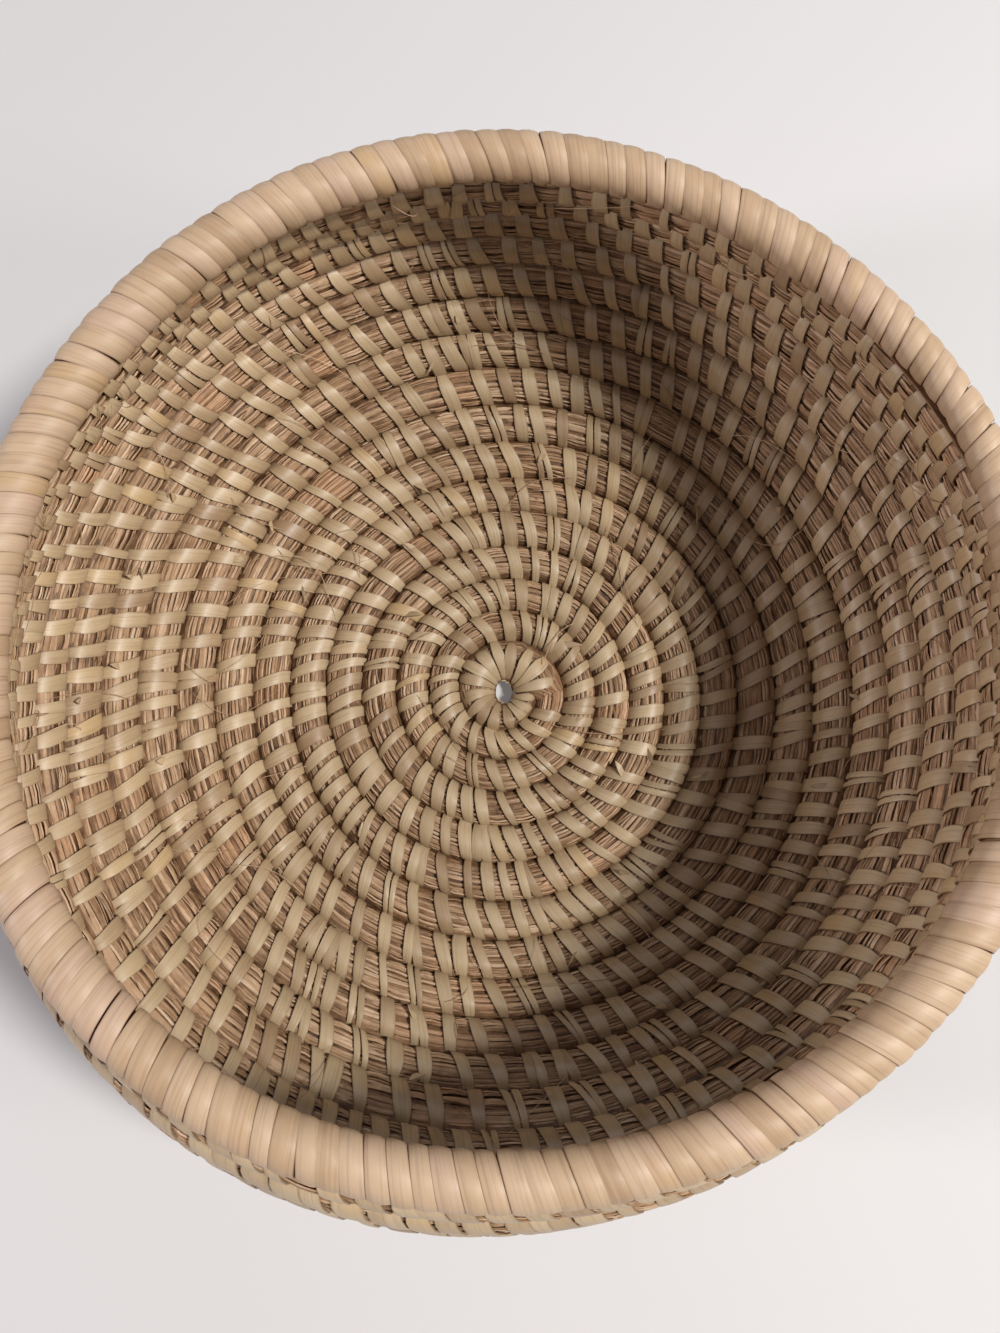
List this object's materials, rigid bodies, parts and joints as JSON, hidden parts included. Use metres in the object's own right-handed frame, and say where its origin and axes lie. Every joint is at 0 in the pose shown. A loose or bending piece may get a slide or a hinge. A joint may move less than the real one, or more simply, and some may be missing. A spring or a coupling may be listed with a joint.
{
  "type": "coiled grass basket",
  "caption": "Round coiled bowl of grass bundle bound with leaf strips, flat base, incurved wall and a wrapped rim; holds small things.",
  "frame": {"origin": "on the surface that the basket stands on, under the middle of its base", "axes": "+Z up through the mouth; +X to the right and +Y up in the picture, which looks down into the basket"},
  "size_m": [0.1911, 0.1921, 0.0827],
  "materials": {
    "grass": "dry fine grass, brown and straw, matt",
    "leaf_strip": "flat dried leaf strip, beige, satin",
    "rim_strip": "broad dried leaf strip, pale straw, satin"
  },
  "bodies": {
    "root": {"grass_bundle_base": "grass", "grass_round_06": "grass", "grass_round_07": "grass", "grass_round_08": "grass", "grass_round_09": "grass", "grass_round_10": "grass", "grass_round_11": "grass", "grass_round_12": "grass", "grass_round_13": "grass", "grass_round_14": "grass", "grass_round_15": "grass", "grass_round_16": "grass", "grass_bundle_rim": "grass", "knot_strip": "leaf_strip", "binding_strip_01": "leaf_strip", "binding_strip_02": "leaf_strip", "binding_strip_03": "leaf_strip", "binding_strip_04": "leaf_strip", "binding_strip_05": "leaf_strip", "binding_strip_06": "leaf_strip", "binding_strip_07": "leaf_strip", "binding_strip_08": "leaf_strip", "binding_strip_09": "leaf_strip", "binding_strip_10": "leaf_strip", "binding_strip_11": "leaf_strip", "binding_strip_12": "leaf_strip", "binding_strip_13": "leaf_strip", "binding_strip_14": "leaf_strip", "binding_strip_15": "leaf_strip", "binding_strip_16": "leaf_strip", "rim_strip_1": "rim_strip", "rim_strip_2": "rim_strip", "rim_strip_3": "rim_strip", "rim_strip_4": "rim_strip", "rim_strip_5": "rim_strip", "rim_strip_6": "rim_strip", "rim_strip_7": "rim_strip", "rim_strip_8": "rim_strip"}
  },
  "joints": []
}
